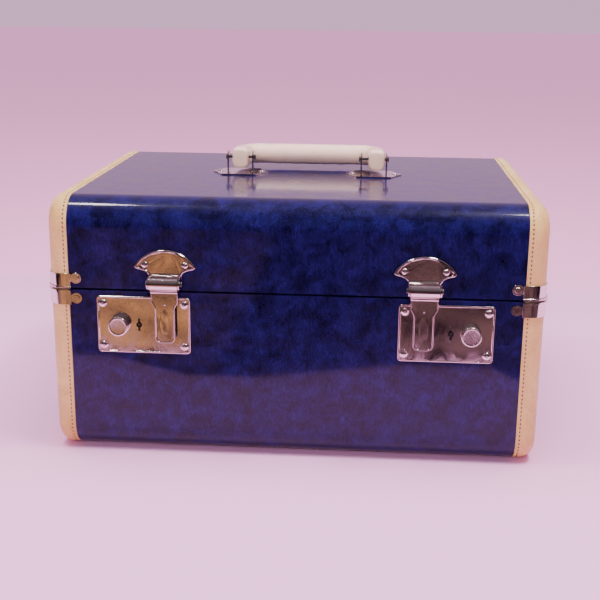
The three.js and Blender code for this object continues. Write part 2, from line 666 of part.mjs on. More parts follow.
// The outline of the tongue, in the same frame.
function tongueOutline() {
  const { top, shoulderTop, shoulderEnd, bottom, wide, narrow } = TONGUE;
  const round = 4.6;
  const side = new THREE.CubicBezierCurve(
    new THREE.Vector2(narrow, shoulderEnd),
    new THREE.Vector2(narrow, shoulderEnd + 3.5),
    new THREE.Vector2(wide, shoulderTop - 3.5),
    new THREE.Vector2(wide, shoulderTop),
  ).getPoints(5);
  const right = [
    ...arc(narrow - round, bottom + round, round, -Math.PI / 2, 0, 4),
    ...side,
    new THREE.Vector2(wide, top),
  ];
  return [...right, ...mirrored(right)];
}

// One hasp. Its frame is at the middle of the fan plate's pin height, on the front face.
function buildHasp(side, sign, lid, hasp) {
  const fixed = new THREE.Group();
  const moving = new THREE.Group();
  fixed.position.set(sign * haspX, FRONT, HASP_PIN_Z);
  moving.position.copy(fixed.position);
  const outline = fanOutline();
  const rimFront = -2.3;
  const sheetFront = -1.3;
  const rimRing = cut(slabY(outline, [rimFront, -FIT]), [
    slabY(fanOutline(FAN.rim), [-5, 1]),
    box([-FAR, FAR], [-5, 1], [-FAR, BARREL.radius + 0.5]),
  ]);
  const cheekProfile = [
    new THREE.Vector2(sheetFront + 0.2, -CHEEK.radius),
    new THREE.Vector2(sheetFront + 0.2, CHEEK.radius),
    ...arc(-HASP_PIN_OUT, 0, CHEEK.radius, Math.PI / 2, (3 * Math.PI) / 2, 10),
  ];
  const rivetPlaces = [-FAN_RIVET.u, FAN_RIVET.u];
  const housing = cut(
    join([
      slabY(outline, [sheetFront, -FIT]),
      rimRing,
      slabX(cheekProfile, [CHEEK.inner, CHEEK.outer]),
      slabX(cheekProfile, [-CHEEK.outer, -CHEEK.inner]),
    ]),
    [
      rodX(PIN_BORE, [-FAR, FAR], -HASP_PIN_OUT, 0),
      ...rivetPlaces.map((x) => rodY(FAN_RIVET.bore, [-5, 1], x, FAN_RIVET.z, 12)),
    ],
  );
  addPiece(fixed, `hasp_housing_${side}`, housing, MATERIALS.chrome);
  rivetPlaces.forEach((x, i) => {
    const rivet = join([
      rodY(FAN_RIVET.shank, [sheetFront - 0.5, WALL - 0.2], x, FAN_RIVET.z, 12),
      domeY(FAN_RIVET.head, FAN_RIVET.high, x, sheetFront - FIT, FAN_RIVET.z),
    ]);
    addPiece(fixed, `hasp_rivet_${side}_${i + 1}`, rivet, MATERIALS.chrome);
  });
  const pinEnd = CHEEK.outer + FIT;
  const pin = join([
    rodX(PIN_RADIUS, [-pinEnd - PIN_HEAD.thick / 2, pinEnd + PIN_HEAD.thick / 2], -HASP_PIN_OUT, 0, 14),
    rodX(PIN_HEAD.radius, [pinEnd, pinEnd + PIN_HEAD.thick], -HASP_PIN_OUT, 0, 14),
    rodX(PIN_HEAD.radius, [-pinEnd - PIN_HEAD.thick, -pinEnd], -HASP_PIN_OUT, 0, 14),
  ]);
  addPiece(fixed, `hasp_pin_${side}`, pin, MATERIALS.steel);
  const { radius, wire, turns } = HASP_SPRING;
  const spring = coil(radius, wire, 2 * BARREL.hollowHalf - 1, turns);
  addPiece(fixed, `hasp_spring_${side}`, spring.translate([0, -HASP_PIN_OUT, 0]), MATERIALS.steel);

  const shape = tongueOutline();
  const recess = inset(shape, TONGUE_BEAD);
  const { hollow, field, bead, brow } = TONGUE_LAYER;
  const pan = cut(slabY(shape, [bead, TONGUE_BACK]), [
    slabY(recess, [bead - 1, field]),
    slabY(recess, [hollow, 1]),
  ]);
  const staple = cut(
    box([-STAPLE.half, STAPLE.half], [-4.6, STAPLE.tip], [STAPLE.bottom, STAPLE.top]),
    [box([-FAR, FAR], [0.4, 2.2], [STAPLE.bottom + 1.2, STAPLE.top - 1.2])],
  );
  const barrel = cut(rodX(BARREL.radius, [-BARREL.half, BARREL.half], -HASP_PIN_OUT, 0, 24), [
    rodX(BARREL.hollow, [-BARREL.hollowHalf, BARREL.hollowHalf], -HASP_PIN_OUT, 0),
    rodX(PIN_BORE, [-FAR, FAR], -HASP_PIN_OUT, 0),
  ]);
  const browBar = box([-TONGUE.wide, TONGUE.wide], [brow, TONGUE_BACK], [TONGUE.top - 2.8, TONGUE.top]);
  addPiece(moving, `hasp_tongue_${side}`, join([barrel, browBar, pan, staple]), MATERIALS.chrome);
  lid.add(fixed);
  hasp.add(moving);
}

// The plate that carries one end of the handle: pointed ends, two lugs and two rivets.
function handlePlate() {
  const { length, depth, thick, rivetAt } = HANDLE_PLATE;
  const [tip, shoulder, middle] = [length / 2, length / 2 - 5, 13.5];
  const corner = [
    new THREE.Vector2(tip, 0),
    new THREE.Vector2(shoulder, depth / 4 - 1),
    new THREE.Vector2(shoulder, depth / 4 + 2),
    new THREE.Vector2(middle + 2, depth / 2 - 3),
    new THREE.Vector2(middle, depth / 2),
  ];
  const flipped = (p) => new THREE.Vector2(p.x, -p.y);
  const outline = [
    ...corner,
    ...mirrored(corner),
    ...corner.slice(1).map((p) => new THREE.Vector2(-p.x, -p.y)),
    ...[...corner.slice(1)].reverse().map(flipped),
  ];
  const z = [BODY_TOP + FIT, BODY_TOP + FIT + thick];
  const pinZ = BODY_TOP + HANDLE_PIN_UP;
  const pinY = HANDLE_PIN_Y - HANDLE_PLATE_Y;
  const solids = [slabZ(outline, z)];
  for (const x of [-LUG.half, LUG.half]) {
    const across = [x - LUG.thick / 2, x + LUG.thick / 2];
    solids.push(box(across, [pinY - LUG.width / 2, pinY + LUG.width / 2], [z[0] + 0.5, pinZ]));
    solids.push(rodX(LUG.width / 2, across, pinY, pinZ, 24));
  }
  for (const x of [-rivetAt, rivetAt]) {
    const shank = rodZ(HANDLE_RIVET.shank, [lidTopInside + 0.2, z[1]], x, 0, 12);
    const head = domeY(HANDLE_RIVET.head, HANDLE_RIVET.high, 0, 0, 0);
    solids.push(shank, head.rotate([-90, 0, 0]).translate([x, 0, z[1] - 0.1]));
  }
  return cut(join(solids), [rodX(LUG.bore, [-FAR, FAR], pinY, pinZ, 14)]);
}

function buildHandle(lid, handle) {
  const pinZ = BODY_TOP + HANDLE_PIN_UP;
  const lugOut = LUG.half + LUG.thick / 2 + FIT;
  for (const [side, sign] of Object.entries(SIDES)) {
    const mount = new THREE.Group();
    mount.position.set(sign * HANDLE_PLATE_X, HANDLE_PLATE_Y, 0);
    const pinY = HANDLE_PIN_Y - HANDLE_PLATE_Y;
    const { radius, head, headThick } = HANDLE_PIN;
    const pin = join([
      rodX(radius, [-lugOut - headThick / 2, lugOut + headThick / 2], pinY, pinZ, 14),
      rodX(head, [lugOut, lugOut + headThick], pinY, pinZ, 14),
      rodX(head, [-lugOut - headThick, -lugOut], pinY, pinZ, 14),
    ]);
    addPiece(mount, `handle_plate_${side}`, handlePlate(), MATERIALS.chrome);
    addPiece(mount, `handle_pin_${side}`, pin, MATERIALS.steel);
    lid.add(mount);
  }

  // The handle's own frame has its pivot at the origin, and it lies back from there.
  const grip = new THREE.Group();
  grip.position.set(HANDLE_SHIFT, HANDLE_PIN_Y, pinZ);
  const half = BLOCK.width / 2;
  const faceArch = [
    new THREE.Vector2(half, BLOCK.low),
    ...arc(0, BLOCK.high - half, half, 0, Math.PI, 10),
    new THREE.Vector2(-half, BLOCK.low),
  ];
  const sideView = [
    ...arc(BLOCK.front + 3, BLOCK.low + 3, 3, Math.PI, (3 * Math.PI) / 2, 3),
    new THREE.Vector2(BLOCK.back, BLOCK.low),
    new THREE.Vector2(BLOCK.back, BLOCK.high),
    ...arc(BLOCK.front + 3, BLOCK.high - 3, 3, Math.PI / 2, Math.PI, 3),
  ];
  const blocks = [-HANDLE_ARM, HANDLE_ARM].map((x) =>
    slabY(faceArch, [BLOCK.front - 1, BLOCK.back + 1])
      .intersect(slabX(sideView, [-half - 1, half + 1]))
      .translate([x, 0, 0]),
  );
  const bendFrom = GRIP.back - GRIP.bend;
  const bendTo = HANDLE_ARM - GRIP.bend;
  const route = [
    new THREE.Vector2(HANDLE_ARM, GRIP.start),
    ...arc(bendTo, bendFrom, GRIP.bend, 0, Math.PI / 2, 5),
  ];
  const points = [...route, new THREE.Vector2(0, GRIP.back), ...mirrored(route)];
  const path = new THREE.CatmullRomCurve3(points.map((p) => new THREE.Vector3(p.x, p.y, GRIP.up)));
  const ellipse = arc(0, 0, 1, 0, (15 * Math.PI) / 8, 15).map(
    (p) => new THREE.Vector2(GRIP.high * p.x, GRIP.deep * p.y),
  );
  const settings = { steps: 32, bevelEnabled: false, extrudePath: path };
  const bar = solidOf(new THREE.ExtrudeGeometry(new THREE.Shape(ellipse), settings));
  const solid = cut(join([bar, ...blocks]), [rodX(HANDLE_PIN.bore, [-FAR, FAR], 0, 0, 14)]);
  addPiece(grip, "handle", solid, MATERIALS.handle);
  handle.add(grip);
}

const trainCase = new THREE.Group();
const base = buildBase();
const lid = buildLid();
const moving = new THREE.Group();
for (const [side, sign] of Object.entries(SIDES)) {
  buildHinge(side, sign, base, lid);
  buildLock(side, sign, base, moving);
  buildHasp(side, sign, lid, moving);
}
buildHandle(lid, moving);
trainCase.add(base, lid, moving, buildTray());

export default trainCase;
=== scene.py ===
# %% [markdown]
# # A makeup train case
# The real object is a board case covered in marbled blue leatherette, with cream bindings stitched
# over its ends and bright plated fittings. The frame that is loaded here holds every working part at
# its true size. This lesson dresses that frame: it adds the coverings, the stitching, the handle and
# the finer metalwork, and gives every surface a finish made from nodes.

# %% Load the frame
import json
import math

import bmesh
import bpy
from mathutils import Matrix, Vector


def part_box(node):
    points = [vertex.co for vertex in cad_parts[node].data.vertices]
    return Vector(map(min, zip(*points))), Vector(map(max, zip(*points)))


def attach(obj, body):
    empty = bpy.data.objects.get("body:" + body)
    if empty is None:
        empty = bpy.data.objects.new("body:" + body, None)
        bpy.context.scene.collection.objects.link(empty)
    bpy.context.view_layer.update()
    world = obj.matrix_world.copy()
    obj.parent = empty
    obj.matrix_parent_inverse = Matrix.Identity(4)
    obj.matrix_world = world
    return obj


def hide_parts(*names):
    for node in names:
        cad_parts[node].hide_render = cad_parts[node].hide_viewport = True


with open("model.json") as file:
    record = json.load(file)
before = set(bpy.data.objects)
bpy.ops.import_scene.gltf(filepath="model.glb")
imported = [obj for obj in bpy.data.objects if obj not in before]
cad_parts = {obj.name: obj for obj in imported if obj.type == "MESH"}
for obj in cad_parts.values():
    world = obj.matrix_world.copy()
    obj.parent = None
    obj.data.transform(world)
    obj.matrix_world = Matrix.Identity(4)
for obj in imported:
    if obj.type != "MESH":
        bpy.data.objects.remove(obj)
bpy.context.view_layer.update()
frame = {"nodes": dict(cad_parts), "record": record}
MM = 0.001
SIDES = {"left": -1, "right": 1}

# %% [markdown]
# ## Camera
# A camera can be aimed with constraints or by hand. Here its direction is built from three angles,
# so the view is easy to read: turned a little to the left, tipped down, and rolled by half a degree.

# %% Aim the camera
CAMERA_PLACE = Vector((0.0527, -0.846, 0.3209))
CAMERA_TURN, CAMERA_TIP, CAMERA_ROLL = (math.radians(a) for a in (-3.865, 15.66, -0.597))
CAMERA_LENS = 63.84

forward = Vector(
    (
        math.sin(CAMERA_TURN) * math.cos(CAMERA_TIP),
        math.cos(CAMERA_TURN) * math.cos(CAMERA_TIP),
        -math.sin(CAMERA_TIP),
    )
)
level_right = Vector((math.cos(CAMERA_TURN), -math.sin(CAMERA_TURN), 0))
level_down = forward.cross(level_right)
right = level_right * math.cos(CAMERA_ROLL) + level_down * math.sin(CAMERA_ROLL)
up = -(level_down * math.cos(CAMERA_ROLL) - level_right * math.sin(CAMERA_ROLL))
camera = bpy.data.objects.new("camera", bpy.data.cameras.new("camera"))
camera.data.lens = CAMERA_LENS
camera.data.sensor_width = 36
camera.matrix_world = Matrix.Translation(CAMERA_PLACE) @ Matrix((right, up, -forward)).transposed().to_4x4()
bpy.context.scene.collection.objects.link(camera)
bpy.context.scene.camera = camera
print("camera looks along", [round(c, 3) for c in forward])

# %% [markdown]
# ## Small helpers for nodes
# Materials are written as short functions. These helpers add a node, set its inputs by name and link
# it, so that each finish below reads as a list of what it is made of.

# %% Node helpers
def add_node(tree, kind, settings=(), **inputs):
    node = tree.nodes.new(kind)
    for key, value in dict(settings).items():
        setattr(node, key, value)
    for key, value in inputs.items():
        socket = node.inputs[key.replace("_", " ")]
        if isinstance(value, bpy.types.NodeSocket):
            tree.links.new(value, socket)
        else:
            socket.default_value = value
    return node


def rgb(*colour):
    return (*colour, 1.0)


def mix_colours(tree, factor, first, second, blend="MIX"):
    node = tree.nodes.new("ShaderNodeMix")
    node.data_type = "RGBA"
    node.blend_type = blend
    for socket, value in ((node.inputs[0], factor), (node.inputs[6], first), (node.inputs[7], second)):
        if isinstance(value, bpy.types.NodeSocket):
            tree.links.new(value, socket)
        else:
            socket.default_value = value
    return node.outputs[2]


def remap(tree, value, low, high, to_low=0.0, to_high=1.0):
    node = add_node(tree, "ShaderNodeMapRange", Value=value)
    for name, number in (("From Min", low), ("From Max", high), ("To Min", to_low), ("To Max", to_high)):
        node.inputs[name].default_value = number
    return node.outputs[0]


def arithmetic(tree, operation, first, second):
    node = tree.nodes.new("ShaderNodeMath")
    node.operation = operation
    for socket, value in zip(node.inputs, (first, second)):
        if isinstance(value, bpy.types.NodeSocket):
            tree.links.new(value, socket)
        else:
            socket.default_value = value
    return node.outputs[0]


def new_group(name, inputs, outputs):
    group = bpy.data.node_groups.new(name, "ShaderNodeTree")
    for label, kind, default in inputs:
        socket = group.interface.new_socket(name=label, in_out="INPUT", socket_type=kind)
        if default is not None:
            socket.default_value = default
    for label, kind in outputs:
        group.interface.new_socket(name=label, in_out="OUTPUT", socket_type=kind)
    return group, group.nodes.new("NodeGroupInput"), group.nodes.new("NodeGroupOutput")


def new_material(name, **principled):
    material = bpy.data.materials.new(name)
    material.use_nodes = True
    shader = material.node_tree.nodes["Principled BSDF"]
    for key, value in principled.items():
        shader.inputs[key.replace("_", " ")].default_value = value
    place = material.node_tree.nodes.new("ShaderNodeTexCoord").outputs["Object"]
    return material, material.node_tree, shader, place


# %% [markdown]
# ## Effects that several finishes share
# Marbling, fine grain and smudges turn up on more than one material. Each is a node group, built once
# and placed in a material with its own values. A group puts out masks and heights only.

# %% Shared effect groups
FLOAT, VECTOR = "NodeSocketFloat", "NodeSocketVector"


def build_marbling():
    group, start, end = new_group(
        "marbling",
        [("Vector", VECTOR, None), ("Size", FLOAT, 40.0), ("Swirl", FLOAT, 1.0)],
        [("Clouds", FLOAT), ("Feathers", FLOAT), ("Specks", FLOAT)],
    )
    place, size = start.outputs["Vector"], start.outputs["Size"]
    clouds = add_node(
        group, "ShaderNodeTexNoise", Vector=place, Scale=size, Detail=8.0, Roughness=0.66,
        Distortion=start.outputs["Swirl"],
    )
    drawn_out = add_node(group, "ShaderNodeMapping", Vector=place, Scale=(1.0, 1.0, 0.4))
    feather_size = arithmetic(group, "MULTIPLY", size, 4.5)
    feathers = add_node(
        group, "ShaderNodeTexNoise", Vector=drawn_out.outputs[0], Scale=feather_size,
        Detail=6.0, Roughness=0.7, Distortion=2.0,
    )
    speck_size = arithmetic(group, "MULTIPLY", size, 22.0)
    specks = add_node(group, "ShaderNodeTexNoise", Vector=place, Scale=speck_size, Detail=3.0)
    for label, node in (("Clouds", clouds), ("Feathers", feathers), ("Specks", specks)):
        group.links.new(node.outputs[0], end.inputs[label])
    return group


def build_grain():
    group, start, end = new_group(
        "fine grain",
        [("Vector", VECTOR, None), ("Size", FLOAT, 900.0), ("Pebble", FLOAT, 0.5)],
        [("Height", FLOAT)],
    )
    cells = add_node(
        group, "ShaderNodeTexVoronoi", {"feature": "SMOOTH_F1"},
        Vector=start.outputs["Vector"], Scale=start.outputs["Size"],
    )
    double = arithmetic(group, "MULTIPLY", start.outputs["Size"], 2.0)
    noise = add_node(group, "ShaderNodeTexNoise", Vector=start.outputs["Vector"], Scale=double, Detail=4.0)
    pebbles = arithmetic(group, "MULTIPLY", cells.outputs["Distance"], start.outputs["Pebble"])
    group.links.new(arithmetic(group, "ADD", pebbles, noise.outputs[0]), end.inputs["Height"])
    return group


def build_smudges():
    group, start, end = new_group(
        "smudges",
        [("Vector", VECTOR, None), ("Size", FLOAT, 60.0)],
        [("Smear", FLOAT), ("Pits", FLOAT)],
    )
    smear = add_node(
        group, "ShaderNodeTexNoise", Vector=start.outputs["Vector"], Scale=start.outputs["Size"],
        Detail=6.0, Roughness=0.65, Distortion=1.5,
    )
    small = arithmetic(group, "MULTIPLY", start.outputs["Size"], 14.0)
    pits = add_node(group, "ShaderNodeTexNoise", Vector=start.outputs["Vector"], Scale=small, Detail=2.0)
    group.links.new(remap(group, smear.outputs[0], 0.35, 0.7), end.inputs["Smear"])
    group.links.new(remap(group, pits.outputs[0], 0.62, 0.72), end.inputs["Pits"])
    return group


EFFECTS = {"marbling": build_marbling(), "fine grain": build_grain(), "smudges": build_smudges()}


def place_effect(tree, name, **inputs):
    return add_node(tree, "ShaderNodeGroup", {"node_tree": EFFECTS[name]}, **inputs).outputs


def add_bump(tree, shader, height, strength, distance):
    bump = add_node(tree, "ShaderNodeBump", Height=height, Strength=strength, Distance=distance)
    tree.links.new(bump.outputs[0], shader.inputs["Normal"])


print("effects:", sorted(EFFECTS))

# %% [markdown]
# ## Finishes
# The leatherette is printed in clouds of navy and violet under a hard glossy film. Its colour comes
# from the marbling group, and the film is a coat over a slightly grained base.

# %% Blue marbled leatherette
NAVY_BLACK = (0.0006, 0.0004, 0.008)
NAVY = (0.0025, 0.0018, 0.040)
ROYAL = (0.009, 0.006, 0.105)
VIOLET = (0.035, 0.022, 0.180)


def make_leatherette():
    material, tree, shader, place = new_material(
        "marbled_leatherette", Coat_Weight=0.8, Coat_Roughness=0.08, Coat_IOR=1.4, Specular_IOR_Level=0.12
    )
    marbling = place_effect(tree, "marbling", Vector=place, Size=70.0, Swirl=0.5)
    clouds = remap(tree, marbling["Clouds"], 0.40, 0.62)
    feathers = remap(tree, marbling["Feathers"], 0.38, 0.66)
    dark = mix_colours(tree, feathers, rgb(*NAVY_BLACK), rgb(*NAVY))
    bright = mix_colours(tree, feathers, rgb(*NAVY), rgb(*ROYAL))
    body = mix_colours(tree, clouds, dark, bright)
    specks = remap(tree, marbling["Specks"], 0.56, 0.78, 0.0, 0.6)
    tree.links.new(mix_colours(tree, specks, body, rgb(*VIOLET)), shader.inputs["Base Color"])
    tree.links.new(remap(tree, marbling["Clouds"], 0.3, 0.7, 0.26, 0.40), shader.inputs["Roughness"])
    grain = place_effect(tree, "fine grain", Vector=place, Size=1100.0, Pebble=0.4)
    add_bump(tree, shader, grain["Height"], 0.10, 0.0004)
    return material


print("leatherette runs from", NAVY_BLACK, "to", VIOLET)

# %% [markdown]
# The binding is cream leather gone yellow. A flat colour would look like paint, so two creams are
# clouded together and small dark pits of soil lie over them. Smears change only how glossy it is.

# %% Cream binding, with handling marks
CREAM_DEEP = (0.60, 0.37, 0.105)
CREAM_PALE = (0.80, 0.57, 0.22)
SOIL = (0.30, 0.14, 0.05)


def make_binding_leather():
    material, tree, shader, place = new_material("cream_binding", Specular_IOR_Level=0.4, Coat_Weight=0.15)
    shader.inputs["Coat Roughness"].default_value = 0.3
    marbling = place_effect(tree, "marbling", Vector=place, Size=26.0, Swirl=0.6)
    clouds = remap(tree, marbling["Clouds"], 0.35, 0.65)
    body = mix_colours(tree, clouds, rgb(*CREAM_DEEP), rgb(*CREAM_PALE))
    smudges = place_effect(tree, "smudges", Vector=place, Size=75.0)
    soil = arithmetic(tree, "MULTIPLY", smudges["Pits"], 0.8)
    tree.links.new(mix_colours(tree, soil, body, rgb(*SOIL)), shader.inputs["Base Color"])
    tree.links.new(remap(tree, smudges["Smear"], 0.0, 1.0, 0.36, 0.52), shader.inputs["Roughness"])
    grain = place_effect(tree, "fine grain", Vector=place, Size=800.0, Pebble=0.8)
    add_bump(tree, shader, grain["Height"], 0.25, 0.0005)
    return material


print("cream runs from", CREAM_DEEP, "to", CREAM_PALE)

# %% [markdown]
# Plated metal takes its look from what it mirrors. Its own work is small: smears that dull it here and
# there, and pits where the plating has gone. One function makes the bright, dulled and plain kinds.

# %% Bright plate and plain steel
def make_plate(name, colour, smooth, dull, pitting):
    material, tree, shader, place = new_material(name, Metallic=1.0)
    smudges = place_effect(tree, "smudges", Vector=place, Size=55.0)
    pitted = arithmetic(tree, "MULTIPLY", smudges["Pits"], pitting)
    worn = mix_colours(tree, pitted, rgb(*colour), rgb(*(0.45 * c for c in colour)))
    tree.links.new(worn, shader.inputs["Base Color"])
    tree.links.new(remap(tree, smudges["Smear"], 0.0, 1.0, smooth, dull), shader.inputs["Roughness"])
    grain = place_effect(tree, "fine grain", Vector=place, Size=500.0, Pebble=0.2)
    add_bump(tree, shader, grain["Height"], 0.04, 0.0002)
    return material


plated = [
    make_plate("bright_plate", (0.86, 0.77, 0.74), 0.06, 0.18, 0.5),
    make_plate("dulled_plate", (0.82, 0.73, 0.69), 0.18, 0.32, 0.4),
    make_plate("plain_steel", (0.16, 0.15, 0.15), 0.3, 0.45, 0.6),
]
print("plated:", [material.name for material in plated])

# %% [markdown]
# The handle and the tray are moulded. A little light passes under the skin of such plastic, so it has
# some subsurface, and faint clouds keep it from looking like a computer's idea of white.

# %% Moulded plastics
def make_plastic(name, light, dark, roughness, coat):
    material, tree, shader, place = new_material(name, Coat_Weight=coat, Coat_Roughness=0.12)
    shader.inputs["Subsurface Weight"].default_value = 0.12
    shader.inputs["Subsurface Scale"].default_value = 0.004
    marbling = place_effect(tree, "marbling", Vector=place, Size=30.0, Swirl=0.8)
    colour = mix_colours(tree, remap(tree, marbling["Clouds"], 0.35, 0.68), rgb(*dark), rgb(*light))
    tree.links.new(colour, shader.inputs["Base Color"])
    spread = remap(tree, marbling["Feathers"], 0.3, 0.7, roughness, roughness + 0.1)
    tree.links.new(spread, shader.inputs["Roughness"])
    grain = place_effect(tree, "fine grain", Vector=place, Size=350.0, Pebble=0.3)
    add_bump(tree, shader, grain["Height"], 0.05, 0.0003)
    return material


moulded = [
    make_plastic("ivory_plastic", (0.95, 0.74, 0.60), (0.88, 0.62, 0.47), 0.2, 0.5),
    make_plastic("tray_plastic", (0.78, 0.70, 0.62), (0.70, 0.60, 0.51), 0.38, 0.1),
]
print("moulded:", [material.name for material in moulded])

# %% [markdown]
# Satin and thread are both made of fibres, so both get sheen, and a fine diagonal weave as bump. The
# painted shade inside each needle hole uses the same function in near black. The mirror is silvered
# glass with a few spots.

# %% Satin lining, thread, the painted needle-hole shade and the dark rim strip
def make_cloth(name, light, dark, threads, roughness, sheen):
    material, tree, shader, place = new_material(name, Sheen_Weight=sheen, Sheen_Roughness=0.35)
    diagonal = {"bands_direction": "DIAGONAL"}
    weave = add_node(tree, "ShaderNodeTexWave", diagonal, Vector=place, Scale=threads)
    marbling = place_effect(tree, "marbling", Vector=place, Size=18.0, Swirl=0.4)
    uneven = remap(tree, marbling["Clouds"], 0.3, 0.7)
    colour = mix_colours(tree, uneven, rgb(*dark), rgb(*light))
    tree.links.new(colour, shader.inputs["Base Color"])
    spread = remap(tree, marbling["Feathers"], 0.3, 0.7, roughness, roughness + 0.15)
    tree.links.new(spread, shader.inputs["Roughness"])
    add_bump(tree, shader, weave.outputs["Fac"], 0.15, 0.0003)
    return material


def make_mirror_glass():
    material, tree, shader, place = new_material("silvered_glass", Metallic=1.0)
    smudges = place_effect(tree, "smudges", Vector=place, Size=30.0)
    spots = arithmetic(tree, "MULTIPLY", smudges["Pits"], 0.25)
    silver = mix_colours(tree, spots, rgb(0.86, 0.88, 0.88), rgb(0.5, 0.5, 0.5))
    tree.links.new(silver, shader.inputs["Base Color"])
    tree.links.new(remap(tree, smudges["Smear"], 0.0, 1.0, 0.01, 0.06), shader.inputs["Roughness"])
    return material


FINISH = {
    "covering": make_leatherette(),
    "binding": make_binding_leather(),
    **dict(zip(("chrome", "knob", "steel"), plated)),
    **dict(zip(("handle", "tray"), moulded)),
    "lining": make_cloth("satin_lining", (0.20, 0.26, 0.46), (0.13, 0.17, 0.34), 900.0, 0.45, 0.6),
    # The rim strip is near black partly as its own dark paint and partly as painted shade, so the parting
    # gap between lid and base shows black.
    "collar": make_plate("dark_rim_paint_and_gap_shade", (0.02, 0.018, 0.05), 0.35, 0.5, 0.2),
    "mirror": make_mirror_glass(),
    "thread": make_cloth("cream_thread", (0.72, 0.50, 0.24), (0.55, 0.35, 0.15), 2500.0, 0.7, 0.2),
    # The needle-hole finish is painted shade: near black for the dark inside each hole.
    "painted_hole_shade": make_cloth("painted_needle_hole_shade", (0.045, 0.018, 0.010), (0.02, 0.008, 0.005), 1500.0, 0.9, 0.0),
}
collar_shader = FINISH["collar"].node_tree.nodes["Principled BSDF"]
collar_shader.inputs["Metallic"].default_value = 0.0  # paint, though made like a plate
print("finishes:", sorted(FINISH))

# %% Give every frame part its finish
slot_of = {s["node"]: s["material_slot"] for s in frame["record"]["subparts"]}
for name, part in frame["nodes"].items():
    part.data.materials.clear()
    part.data.materials.append(FINISH[slot_of[name]])
print(len(slot_of), "frame parts finished")

# %% [markdown]
# ## Making pieces
# Every new piece goes through one function that turns a bmesh into an object, smooths it, keeps the
# hard edges hard, hangs it on the body it rides on, and hides the frame parts it stands for.

# %% Piece helpers
def make_piece(name, bm, body, slot, replaces=(), finish=None, sharp=35, wall=0, rounding=0):
    """wall gives an open sheet a wall on its inside, and rounding subdivides a coarse shape."""
    mesh = bpy.data.meshes.new(name)
    bm.to_mesh(mesh)
    bm.free()
    mesh.polygons.foreach_set("use_smooth", [True] * len(mesh.polygons))
    mesh.set_sharp_from_angle(angle=math.radians(sharp))
    mesh.materials.append(FINISH[finish or slot])
    piece = bpy.data.objects.new(name, mesh)
    bpy.context.scene.collection.objects.link(piece)
    if wall:
        solidify = piece.modifiers.new("wall", "SOLIDIFY")
        solidify.thickness = wall
        solidify.offset = -1
    if rounding:
        subdivide = piece.modifiers.new("rounding", "SUBSURF")
        subdivide.levels = subdivide.render_levels = rounding
    even = piece.modifiers.new("even_shading", "WEIGHTED_NORMAL")
    even.keep_sharp = True
    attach(piece, body)
    if replaces:
        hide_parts(*replaces)
    return piece


def body_of_node(node):
    bodies = frame["record"]["behaviour"]["bodies"]
    return next(body for body, nodes in bodies.items() if node in nodes)


def merged_copy(node, whole_faces=True):
    """A copy of a frame part with its loose triangles joined, and flat ones merged into whole faces."""
    bm = bmesh.new()
    bm.from_mesh(frame["nodes"][node].data)
    bmesh.ops.remove_doubles(bm, verts=bm.verts, dist=0.00001)
    if whole_faces:
        bmesh.ops.dissolve_limit(bm, angle_limit=math.radians(1), verts=bm.verts, edges=bm.edges)
    return bm


def refine(node, edge=0.25, segments=2, sharp=35, angle=28):
    """Replaces a frame part with a copy whose hard edges are rounded."""
    bm = merged_copy(node)
    hard = [e for e in bm.edges if e.is_manifold and e.calc_face_angle(0) > math.radians(angle)]
    bmesh.ops.bevel(
        bm, geom=hard, offset=edge * MM, offset_type="OFFSET", segments=segments, profile=0.5,
        affect="EDGES", material=-1, clamp_overlap=True,
    )
    make_piece(f"{node}_fine", bm, body_of_node(node), slot_of[node], [node], sharp=sharp)


def crown(bm, level, width, height):
    """Rounds the flat top of a raised rim that faces the front at y = level."""
    rim = [f for f in bm.faces if f.normal.y < -0.9 and abs(f.calc_center_median().y - level) < 0.02 * MM]
    for vert in {v for f in rim for v in f.verts}:
        vert.co.y += height
    for rise in (0.5, 0.3, 0.2):
        bmesh.ops.inset_region(bm, faces=rim, thickness=0.11 * width, use_even_offset=True)
        for vert in {v for f in rim for v in f.verts}:
            vert.co.y -= rise * height


# %% [markdown]
# ## The covered body
# The body is a block with large rounded long edges and smaller rounded ends. A lathe or a loft could
# make it, but two bevels on a cube are simpler and keep the rounds exact: first the four long edges,
# then the loops at the ends. Cutting that block with planes gives each covering and each binding.

# %% Rounded block
base_low, base_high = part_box("base_shell")
lid_low, lid_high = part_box("lid_shell")
end_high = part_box("lid_end_right")[1]
binding_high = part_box("lid_binding_right")[1]
EDGE_ROUND = 20 * MM
END_ROUND = 10 * MM
BLUE_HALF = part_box("base_binding_right")[0].x - 0.15 * MM
BINDING_PROUD = 0.5 * MM
half_length = binding_high.x - BINDING_PROUD
half_depth = base_high.y
body_bottom, body_top = base_low.z, lid_high.z
rims = {"base": base_high.z, "lid": lid_low.z}


def rounded_block(grow):
    bm = bmesh.new()
    bmesh.ops.create_cube(bm, size=1)
    size = Vector((2 * (half_length + grow), 2 * (half_depth + grow), body_top - body_bottom + 2 * grow))
    bmesh.ops.scale(bm, vec=size, verts=bm.verts)
    bmesh.ops.translate(bm, vec=(0, 0, (body_top + body_bottom) / 2), verts=bm.verts)
    long_edges = [e for e in bm.edges if e.calc_length() > 2 * half_length]
    bmesh.ops.bevel(
        bm, geom=long_edges, offset=EDGE_ROUND + grow, offset_type="OFFSET", segments=14, profile=0.5,
        affect="EDGES", material=-1,
    )
    ends = [e for e in bm.edges if e.calc_length() < 2 * half_length]
    bmesh.ops.bevel(
        bm, geom=ends, offset=END_ROUND + grow, offset_type="OFFSET", segments=10, profile=0.5,
        affect="EDGES", material=-1,
    )
    return bm


